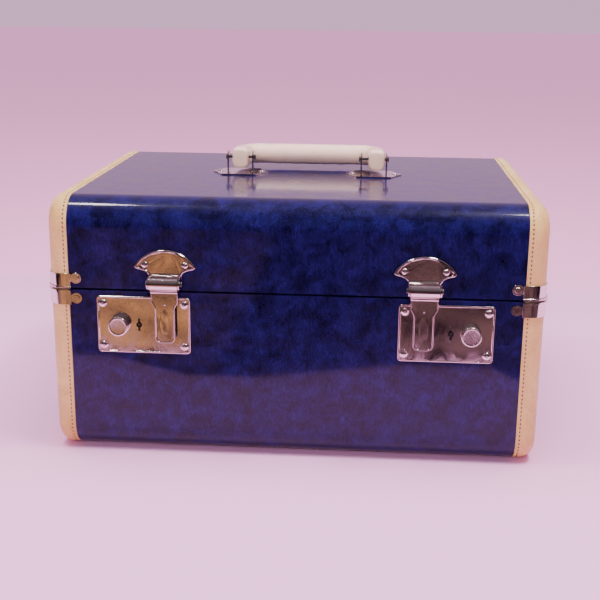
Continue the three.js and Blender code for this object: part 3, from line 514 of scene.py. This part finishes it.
def slice_off(bm, place, normal):
    """Cuts the mesh with a plane and throws away what lies on the side that normal points to."""
    everything = bm.verts[:] + bm.edges[:] + bm.faces[:]
    bmesh.ops.bisect_plane(bm, geom=everything, plane_co=place, plane_no=normal, clear_outer=True)


def score(bm, place, normal):
    """Cuts new edges along a plane and keeps both sides."""
    everything = bm.verts[:] + bm.edges[:] + bm.faces[:]
    bmesh.ops.bisect_plane(bm, geom=everything, plane_co=place, plane_no=normal)


def keep_half(bm, half):
    keep = -1 if half == "lid" else 1
    slice_off(bm, (0, 0, rims[half]), (0, 0, keep))


# %% [markdown]
# The leatherette is a thin sheet over the board strip and over each end. Where the locks sit it is cut
# away, as on the real case, so the works can be seen through the plates. Solidify gives it thickness.

# %% Blue covering sheets
SHEET = 0.15 * MM
COVER_PROUD = 0.2 * MM


def cut_lock_windows(bm):
    for side, sign in SIDES.items():
        low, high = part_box(f"lock_plate_{side}")
        low, high = low + Vector((4, 0, 4)) * MM, high - Vector((4, 0, 4)) * MM
        for x in (low.x, high.x):
            score(bm, (x, 0, 0), (1, 0, 0))
        for z in (low.z, high.z):
            score(bm, (0, 0, z), (0, 0, 1))
        inside = []
        for face in bm.faces:
            middle = face.calc_center_median()
            front = middle.y < -half_depth + 5 * MM
            if front and low.x < middle.x < high.x and low.z < middle.z < high.z:
                inside.append(face)
        bmesh.ops.delete(bm, geom=inside, context="FACES")


for half in ("base", "lid"):
    bm = rounded_block(COVER_PROUD)
    slice_off(bm, (BLUE_HALF, 0, 0), (1, 0, 0))
    slice_off(bm, (-BLUE_HALF, 0, 0), (-1, 0, 0))
    keep_half(bm, half)
    if half == "base":
        cut_lock_windows(bm)
    bmesh.ops.recalc_face_normals(bm, faces=bm.faces)
    make_piece(f"{half}_covering", bm, half, "covering", wall=SHEET)

for half in ("base", "lid"):
    for side, sign in SIDES.items():
        low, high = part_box(f"{half}_end_{side}")
        face_x = sign * max(abs(low.x), abs(high.x))
        margin = 14.2 * MM
        bm = bmesh.new()
        bmesh.ops.create_cube(bm, size=1)
        tall = body_top - body_bottom - 2 * margin
        bmesh.ops.scale(bm, vec=(SHEET + 0.1 * MM, 2 * (half_depth - margin), tall), verts=bm.verts)
        middle = (face_x + sign * 0.1 * MM, 0, (body_top + body_bottom) / 2)
        bmesh.ops.translate(bm, vec=middle, verts=bm.verts)
        corners = [e for e in bm.edges if abs(e.verts[0].co.x - e.verts[1].co.x) > SHEET / 2]
        bmesh.ops.bevel(
            bm, geom=corners, offset=6 * MM, segments=6, profile=0.5, affect="EDGES", material=-1
        )
        slice_off(bm, (0, 0, rims[half]), (0, 0, -1 if half == "lid" else 1))
        bmesh.ops.holes_fill(bm, edges=[e for e in bm.edges if e.is_boundary], sides=0)
        bmesh.ops.recalc_face_normals(bm, faces=bm.faces)
        make_piece(f"{half}_end_covering_{side}", bm, half, "covering")
print("coverings made")

# %% [markdown]
# ## Bindings
# A binding is a strip of cream leather folded over the end and sewn down along both its edges. The
# sewn line pulls the leather in, so the strip swells a little between its seams. Extra loops beside
# the seams let the sewn line be pushed in.

# %% Bindings with a sewn groove
SEAM_FROM_EDGE = 2.8 * MM
GROOVE = 0.45 * MM
GROOVE_HALF = 0.8 * MM
SWELL = 0.2 * MM
END_MARGIN = 13.85 * MM
seam_x = BLUE_HALF + SEAM_FROM_EDGE
seam_margin = END_MARGIN - SEAM_FROM_EDGE + BINDING_PROUD


def make_binding(half, side, sign):
    bm = rounded_block(BINDING_PROUD)
    for x in (seam_x - GROOVE_HALF, seam_x, seam_x + GROOVE_HALF):
        score(bm, (sign * x, 0, 0), (1, 0, 0))
    slice_off(bm, (sign * (BLUE_HALF + 0.25 * MM), 0, 0), (-sign, 0, 0))
    cap_x = sign * (half_length + BINDING_PROUD)
    cap = max(bm.faces, key=lambda f: f.calc_area() if abs(f.calc_center_median().x - cap_x) < 1e-6 else 0)
    strip = END_MARGIN + BINDING_PROUD - (END_ROUND + BINDING_PROUD)
    before_seam = strip - SEAM_FROM_EDGE
    loops = []
    for width in (before_seam - GROOVE_HALF, GROOVE_HALF, GROOVE_HALF, SEAM_FROM_EDGE - GROOVE_HALF):
        bmesh.ops.inset_region(bm, faces=[cap], thickness=width, use_even_offset=True)
        loops.append(list(cap.verts))
    bmesh.ops.delete(bm, geom=[cap], context="FACES")
    bm.normal_update()
    for vert in loops[1]:
        vert.co.x -= sign * GROOVE
    for vert in bm.verts:
        if abs(abs(vert.co.x) - seam_x) < 1e-6:
            vert.co -= vert.normal * GROOVE
        elif abs(vert.co.x) > seam_x + 2 * GROOVE_HALF and abs(vert.co.x) < abs(cap_x) - 1e-6:
            vert.co += vert.normal * SWELL
        vert.co.z = max(vert.co.z, body_bottom - BINDING_PROUD)  # flat where the case stands on it
    slice_off(bm, (0, 0, rims[half]), (0, 0, -1 if half == "lid" else 1))
    node = f"{half}_binding_{side}"
    make_piece(f"{node}_leather", bm, half, "binding", [node], sharp=50, wall=1.3 * MM)


for half in ("base", "lid"):
    for side, sign in SIDES.items():
        make_binding(half, side, sign)
print("bindings made")

# %% [markdown]
# ## Stitching
# Each stitch is a small pill of thread that lies in the groove, with a near-black pill at each end
# that is painted shade for its needle hole. One loop walks round the outline of the body and lays
# them at an even pitch, so a whole sewn line is one piece with a few faces for each stitch.

# %% Walk round an outline
PITCH = 3.1 * MM
STITCH_DEPTH = 0.3 * MM
WIDE, DEEP = 1.45 * MM, 0.48 * MM
CENTRE_Z = (body_top + body_bottom) / 2
HALF_HEIGHT = (body_top - body_bottom) / 2


def outline_walk(margin, half):
    """Places and directions in (y, z) along the outline, from the front rim round to the back rim."""
    radius = max(EDGE_ROUND - margin, 1 * MM)
    flip = 1 if half == "lid" else -1
    y_end, z_end = half_depth - margin, HALF_HEIGHT - margin
    rise = z_end - radius - flip * (rims[half] - CENTRE_Z)
    lengths = [rise, radius * math.pi / 2, 2 * (y_end - radius), radius * math.pi / 2, rise]
    total = sum(lengths)
    count = int(total / PITCH)
    places = []
    for i in range(count):
        s = (i + 0.5) * total / count
        leg = 0
        while s > lengths[leg]:
            s -= lengths[leg]
            leg += 1
        if leg == 0:
            y, z, angle = -y_end, z_end - radius - rise + s, math.pi / 2
        elif leg == 1:
            turn = s / radius
            y = -y_end + radius * (1 - math.cos(turn))
            z = z_end - radius + radius * math.sin(turn)
            angle = math.pi / 2 - turn
        elif leg == 2:
            y, z, angle = -y_end + radius + s, z_end, 0.0
        elif leg == 3:
            turn = s / radius
            y = y_end - radius + radius * math.sin(turn)
            z = z_end - radius + radius * math.cos(turn)
            angle = -turn
        else:
            y, z, angle = y_end, z_end - radius - s, -math.pi / 2
        places.append((y, CENTRE_Z + flip * z, flip * angle))
    return places


def add_stitch(bm, place, angle, size):
    """A pill of size (across the case, along the seam, up from the seam)."""
    turn = Matrix.Translation(place) @ Matrix.Rotation(angle, 4, "X")
    size = Matrix.Diagonal((*size, 1))
    bmesh.ops.create_uvsphere(bm, u_segments=6, v_segments=4, radius=0.5, matrix=turn @ size)


for half in ("base", "lid"):
    for side, sign in SIDES.items():
        threads = bmesh.new()
        hole_shades = bmesh.new()
        on_side = (seam_x, STITCH_DEPTH - BINDING_PROUD, (WIDE, DEEP))
        on_end = (half_length + BINDING_PROUD - STITCH_DEPTH, seam_margin - BINDING_PROUD, (DEEP, WIDE))
        for x, margin, (across, rise) in (on_side, on_end):
            for y, z, angle in outline_walk(margin, half):
                place = Vector((sign * x, y, z))
                along = Vector((0, math.cos(angle), math.sin(angle))) * PITCH / 2
                add_stitch(threads, place, angle, (0.55 * across, PITCH * 0.74, 0.9 * rise))
                # Each near-black pill here is painted shade standing in for the dark inside a needle hole.
                add_stitch(hole_shades, place + along, angle, (across, 1.3 * MM, rise))
        make_piece(f"{half}_stitches_{side}", threads, half, "binding", finish="thread", sharp=80)
        make_piece(f"{half}_needle_holes_{side}", hole_shades, half, "binding", finish="painted_hole_shade", sharp=80)
print("stitches laid")

# %% [markdown]
# ## Metalwork
# Most fittings keep the frame's shape. A merged copy with softly rounded edges catches the light the
# way pressed and plated sheet does, where a knife edge would look drawn. The rims of the locks are
# pressed beads: the flat top of each rim is inset in three steps that rise to a round crown.

# %% Lock plates, fans and tongues with crowned rims
# For each pressed part: how far in front of the body each rim lies, its width and its height, in mm.
RIMS = {
    "lock_plate": [(2.1, 1.6, 0.65)],
    "hasp_housing": [(2.3, 1.9, 0.75)],
    "hasp_tongue": [(6.4, 1.2, 0.6), (8.0, 2.8, 1.1)],
}
# The long swelling and the small dimple on a tongue: height from the hasp pin, width, height, depth.
TONGUE_BOSSES = ((-28.5, 9, 25, 0.64), (-15.4, 1.5, 1.5, 1.0))
TONGUE_FACE = 5.4 * MM


def add_tongue_bosses(bm, side):
    low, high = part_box(f"hasp_tongue_{side}")
    pin_low, pin_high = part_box(f"hasp_pin_{side}")
    for rise, wide, tall, deep in TONGUE_BOSSES:
        height = (pin_low.z + pin_high.z) / 2 + rise * MM
        centre = Matrix.Translation(((low.x + high.x) / 2, -half_depth - TONGUE_FACE, height))
        size = Matrix.Diagonal((wide * MM, deep * MM, tall * MM, 1))
        bmesh.ops.create_uvsphere(bm, u_segments=32, v_segments=20, radius=0.5, matrix=centre @ size)


for side in SIDES:
    for stem, rims_of_part in RIMS.items():
        node = f"{stem}_{side}"
        bm = merged_copy(node, whole_faces=stem != "hasp_housing")
        bm.normal_update()
        for out, width, height in rims_of_part:
            crown(bm, -half_depth - out * MM, width * MM, height * MM)
        if stem == "hasp_tongue":
            add_tongue_bosses(bm, side)
        make_piece(f"{node}_pressed", bm, body_of_node(node), "chrome", [node], sharp=48)
print("rims crowned")

# %% [markdown]
# The other fittings only need their edges softened. The tray and the mirror frame are moulded and
# turned shapes with larger rounds, so they get wider bevels.

# %% Rounded copies of the other fittings
for side in SIDES:
    refine(f"handle_plate_{side}", edge=0.3, segments=2)
    for half in ("base", "lid"):
        refine(f"hinge_leaf_{half}_{side}", edge=0.25)
        for place in ("front", "back"):
            refine(f"{half}_cap_{place}_{side}", edge=0.35, segments=3)
refine("tray", edge=0.7, segments=3)
refine("mirror_frame", edge=1.0, segments=3)
print("fittings refined")

# %% [markdown]
# Rivet heads and knobs are turned parts. A spun profile gives them their true section: a struck flat
# on each rivet, and on each knob a neck, three grip ridges and a dished face inside a rounded rim.

# %% Rivet heads and thumb knobs by spinning a profile
PLATE_RIVET = {"radius": 3.0 * MM, "height": 2.1 * MM, "across": 29 * MM, "up": 15.5 * MM}
FAN_RIVET = {"radius": 2.5 * MM, "height": 1.7 * MM}
# Back from the rim and down from the face, in mm, across the end of a knob.
KNOB_FACE = ((0.0, 1.0), (0.12, 0.55), (0.4, 0.2), (0.8, 0.03), (1.3, 0.0), (1.7, 0.12), (2.0, 0.2))
KNOB_NECK = 1.7 * MM
RIDGE_DEPTH = 0.45 * MM


def spun(bm, profile, centre, axis, steps):
    """Spins a list of (radius, height) points about axis, from centre."""
    across = axis.orthogonal().normalized()
    verts = [bm.verts.new(centre + across * r + axis * h) for r, h in profile]
    edges = [bm.edges.new(pair) for pair in zip(verts, verts[1:])]
    bmesh.ops.spin(
        bm, geom=verts + edges, cent=centre, axis=axis, dvec=(0, 0, 0), angle=2 * math.pi, steps=steps,
        use_merge=True, use_duplicate=False,
    )


def spun_piece(name, spins, body, slot, replaces=(), finish=None, steps=32, sharp=40):
    bm = bmesh.new()
    for profile, centre, axis in spins:
        spun(bm, profile, Vector(centre), Vector(axis), steps)
    bmesh.ops.remove_doubles(bm, verts=bm.verts, dist=0.000005)
    bmesh.ops.recalc_face_normals(bm, faces=bm.faces)
    return make_piece(name, bm, body, slot, replaces, finish, sharp)


def dome_profile(radius, height, dimple=0.25):
    """A rivet head: a low dome with a small flat where the punch struck it."""
    points = [(0.0, -0.1 * MM), (radius, -0.1 * MM)]
    for i in range(7):
        angle = i * math.pi / 14
        points.append((radius * math.cos(angle), height * math.sin(angle)))
    points.append((radius * dimple, height * 0.97))
    points.append((0.0, height * 0.86))
    return points


def knob_profile(radius, out):
    head = 4.1 * MM
    points = [(0.0, 0.0), (KNOB_NECK, 0.0), (KNOB_NECK, head), (radius - 0.5 * MM, head)]
    points.append((radius, head + 0.3 * MM))
    for ridge in range(3):
        start = (5.0 + 1.2 * ridge) * MM
        low_radius = radius - RIDGE_DEPTH
        points += [(radius, start), (low_radius, start + 0.25 * MM)]
        points += [(low_radius, start + 0.5 * MM), (radius, start + 0.75 * MM)]
    points += [(radius - back * MM, out - down * MM) for back, down in KNOB_FACE]
    points.append((0.0, out - 0.2 * MM))
    return points


TO_FRONT = (0, -1, 0)
for side in SIDES:
    low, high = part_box(f"lock_plate_{side}")
    middle = (low + high) / 2
    profile = dome_profile(PLATE_RIVET["radius"], PLATE_RIVET["height"])
    spins = []
    for across in (-PLATE_RIVET["across"], PLATE_RIVET["across"]):
        for rise in (-PLATE_RIVET["up"], PLATE_RIVET["up"]):
            corner = (middle.x + across, low.y + 0.8 * MM, middle.z + rise)
            spins.append((profile, corner, TO_FRONT))
    spun_piece(f"lock_rivet_heads_{side}", spins, "base", "chrome")
    for i in (1, 2):
        low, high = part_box(f"hasp_rivet_{side}_{i}")
        centre = ((low.x + high.x) / 2, low.y + 1.4 * MM, (low.z + high.z) / 2)
        spins = [(dome_profile(FAN_RIVET["radius"], FAN_RIVET["height"]), centre, TO_FRONT)]
        spun_piece(f"hasp_rivet_head_{side}_{i}", spins, "lid", "chrome")
    knob_low, knob_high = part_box(f"thumb_knob_{side}")
    radius = (knob_high.x - knob_low.x) / 2 + 0.1 * MM
    centre = ((knob_low.x + knob_high.x) / 2, knob_high.y, (knob_low.z + knob_high.z) / 2)
    profile = knob_profile(radius, knob_high.y - knob_low.y)
    spun_piece(
        f"thumb_knob_turned_{side}", [(profile, centre, TO_FRONT)], f"lock_slide_{side}", "chrome",
        [f"thumb_knob_{side}"], finish="knob", steps=48,
    )
print("rivets and knobs turned")

# %% [markdown]
# ## Handle
# The handle is one ivory moulding: a thick bar that bends forward at each end into a block between
# the lugs. A ring of points is carried along its middle line, changing from a squared block to a round
# bar, and a subdivision surface smooths the whole.

# %% Handle
handle_low, handle_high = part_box("handle")
pin_low, pin_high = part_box("handle_pin_left")
pin_middle = (pin_low + pin_high) / 2
pivot = Vector(((handle_low.x + handle_high.x) / 2, pin_middle.y, pin_middle.z))
ARM = 54.5 * MM
BACK_LINE = 32.5 * MM
BEND = 17 * MM
# The end block: distance behind the pin, half width, half height (mm), and how square it is.
BLOCK = (
    (-6.8, 4.6, 6.4, 3.2), (-6.0, 6.1, 7.8, 3.6), (-2, 6.6, 8.4, 4.5),
    (6, 6.6, 8.4, 4.5), (9.5, 6.9, 8.3, 3.6), (13, 8.2, 8.2, 2.6),
)


def ring(bm, centre, across, half_wide, half_high, squareness, count=16):
    """A closed ring of points: a circle at squareness 2, and squarer as it grows."""
    verts = []
    for i in range(count):
        angle = 2 * math.pi * (i + 0.5) / count
        c, s = math.cos(angle), math.sin(angle)
        u = math.copysign(abs(c) ** (2 / squareness), c) * half_wide
        v = math.copysign(abs(s) ** (2 / squareness), s) * half_high
        verts.append(bm.verts.new(centre + across * u + Vector((0, 0, v))))
    return verts


def handle_stations():
    """Middle line, sideways direction and section of the right half, from the block to the middle."""
    stations = []
    for y, wide, high, square in BLOCK:
        centre = Vector((ARM, y * MM, -0.5 * MM))
        stations.append((centre, Vector((1, 0, 0)), wide * MM, high * MM, square))
    for step in range(1, 7):
        turn = step * math.pi / 2 / 6
        x = ARM - BEND * (1 - math.cos(turn))
        y = BACK_LINE - BEND * (1 - math.sin(turn))
        across = Vector((math.cos(turn), math.sin(turn), 0))
        stations.append((Vector((x, y, -1.1 * MM)), across, 9.2 * MM, 8.2 * MM, 2.2))
    for step in range(1, 7):
        centre = Vector(((ARM - BEND) * (1 - step / 6), BACK_LINE + 0.3 * MM, -1.3 * MM))
        finger = 0.35 * MM * math.cos(step * math.pi)  # shallow waves that fit the fingers
        stations.append((centre, Vector((0, 1, 0)), 9.4 * MM, 8.35 * MM + finger, 2.15))
    return stations


bm = bmesh.new()
rings = []
right_half = handle_stations()
for centre, across, wide, high, square in right_half:
    rings.append(ring(bm, pivot + centre, across, wide, high, square))
for centre, across, wide, high, square in reversed(right_half[:-1]):
    mirrored = Vector((-centre.x, centre.y, centre.z))
    rings.append(ring(bm, pivot + mirrored, Vector((-across.x, across.y, 0)), wide, high, square))
for first, second in zip(rings, rings[1:]):
    count = len(first)
    for i in range(count):
        bm.faces.new((first[i], first[(i + 1) % count], second[(i + 1) % count], second[i]))
bm.faces.new(rings[0])
bm.faces.new(rings[-1])
bmesh.ops.recalc_face_normals(bm, faces=bm.faces)
make_piece("handle_moulding", bm, "handle", "handle", ["handle"], sharp=180, rounding=2)
print("handle has", len(rings), "rings")

# %% [markdown]
# ## Floor and light
# A plain pale floor under soft light from above, as in a small studio. Past the back of the case the
# floor takes the tone of a lit backdrop. In front, the room is dark, and a glossy case shows that
# plainly: only its lowest third mirrors the pale floor. Cards that mirror rays alone can see stand in
# for that dark room, and a warm one gives the plated locks something to show.

# %% Floor
FLOOR_BACK = 0.37
ROOM = 6.0


def flat_sheet(name, low, high, z):
    bm = bmesh.new()
    corners = [(low[0], low[1]), (high[0], low[1]), (high[0], high[1]), (low[0], high[1])]
    bm.faces.new([bm.verts.new((x, y, z)) for x, y in corners])
    mesh = bpy.data.meshes.new(name)
    bm.to_mesh(mesh)
    bm.free()
    sheet = bpy.data.objects.new(name, mesh)
    bpy.context.scene.collection.objects.link(sheet)
    return sheet


def make_paper(name, light, dark, glow):
    material, tree, shader, place = new_material(name, Roughness=0.7, Specular_IOR_Level=0.0)
    noise = add_node(tree, "ShaderNodeTexNoise", Vector=place, Scale=2.0, Detail=3.0)
    colour = mix_colours(tree, noise.outputs[0], rgb(*dark), rgb(*light))
    tree.links.new(colour, shader.inputs["Base Color"])
    tree.links.new(colour, shader.inputs["Emission Color"])
    shader.inputs["Emission Strength"].default_value = glow
    return material


floor = flat_sheet("floor", (-ROOM, -ROOM), (ROOM, FLOOR_BACK), 0)
floor.data.materials.append(make_paper("pale_paper", (0.92, 0.48, 0.80), (0.89, 0.46, 0.77), 0.0))
far_floor = flat_sheet("far_floor", (-ROOM, FLOOR_BACK), (ROOM, 2 * ROOM), 0)
far_floor.data.materials.append(make_paper("backdrop", (0.62, 0.26, 0.47), (0.60, 0.25, 0.45), 1.4))
print("floor reaches back to", FLOOR_BACK, "m")

# %% [markdown]
# The soft light overhead and the fill in front are hidden from mirror rays, because a real room would
# show as a window shape in the coat. Two small lamps above do show: they draw the bright streaks
# along the top edge. The cards lie just above the floor, in front of the case.

# %% Lights and mirror cards
def area_light(name, place, target, size, watts, colour=(1, 1, 1)):
    light = bpy.data.objects.new(name, bpy.data.lights.new(name, "AREA"))
    light.data.shape = "RECTANGLE"
    light.data.size, light.data.size_y = size
    light.data.energy = watts
    light.data.color = colour
    direction = Vector(target) - Vector(place)
    turn = direction.to_track_quat("-Z", "Y").to_matrix().to_4x4()
    light.matrix_world = Matrix.Translation(place) @ turn
    bpy.context.scene.collection.objects.link(light)
    return light


def mirror_card(name, low, high, z, dark, bright):
    """A faintly glowing, patchy card that only mirror reflections see."""
    card = flat_sheet(name, low, high, z)
    material, tree, shader, place = new_material(name, Specular_IOR_Level=0.0, Emission_Strength=1.0)
    shader.inputs["Base Color"].default_value = rgb(0, 0, 0)
    noise = add_node(tree, "ShaderNodeTexNoise", Vector=place, Scale=14.0, Detail=3.0, Distortion=1.0)
    patches = remap(tree, noise.outputs[0], 0.44, 0.58)
    tree.links.new(mix_colours(tree, patches, rgb(*dark), rgb(*bright)), shader.inputs["Emission Color"])
    card.data.materials.append(material)
    card.visible_camera = card.visible_diffuse = card.visible_shadow = False
    return card


overhead = area_light("overhead_soft", (0.0, -0.15, 1.5), (0, 0.05, 0.1), (1.6, 1.1), 41, (1.0, 0.86, 0.95))
area_light("streak_right", (0.42, -0.22, 1.15), (0.15, 0, 0.1), (0.30, 0.14), 8, (1.0, 0.9, 0.92))
area_light("streak_left", (-0.40, -0.2, 1.15), (-0.15, 0, 0.1), (0.12, 0.10), 3, (1.0, 0.9, 0.92))
front_fill = area_light("front_fill", (-0.3, -1.8, 0.9), (0, 0, 0.1), (1.2, 0.8), 22, (1.0, 0.84, 0.9))
overhead.visible_glossy = front_fill.visible_glossy = False
CARDS = (
    ("dark_room", (-ROOM, -ROOM), (ROOM, -0.335), 0.003, (0.006, 0.004, 0.008), (0.016, 0.009, 0.016)),
    ("warm_card", (-0.50, -0.90), (-0.08, -0.355), 0.006, (0.12, 0.065, 0.05), (0.80, 0.36, 0.16)),
    ("plum_card", (0.02, -0.90), (0.50, -0.355), 0.006, (0.030, 0.016, 0.022), (0.20, 0.10, 0.11)),
)
for card in CARDS:
    mirror_card(*card)
print(len(CARDS), "mirror cards")

# %% [markdown]
# The world fills in what is beyond the floor: pale near the horizon behind the case, which the lid
# mirrors, paler still overhead for the diffuse light, and nearly dark in front.

# %% Surroundings: pale behind and above, dim towards the front
world = bpy.data.worlds.new("surroundings")
bpy.context.scene.world = world
world.use_nodes = True
tree = world.node_tree
direction = add_node(tree, "ShaderNodeTexCoord").outputs["Generated"]
parts = add_node(tree, "ShaderNodeSeparateXYZ", Vector=direction).outputs
rise = remap(tree, parts[2], 0.0, 0.9)
pale = mix_colours(tree, rise, rgb(1.0, 0.58, 0.88), rgb(0.82, 0.58, 0.76))
front = mix_colours(tree, rise, rgb(0.035, 0.022, 0.026), rgb(0.22, 0.16, 0.20))
tone = mix_colours(tree, remap(tree, parts[1], -0.1, 0.6), front, pale)
background = tree.nodes["Background"]
tree.links.new(tone, background.inputs["Color"])
background.inputs["Strength"].default_value = 0.9
print("lit")
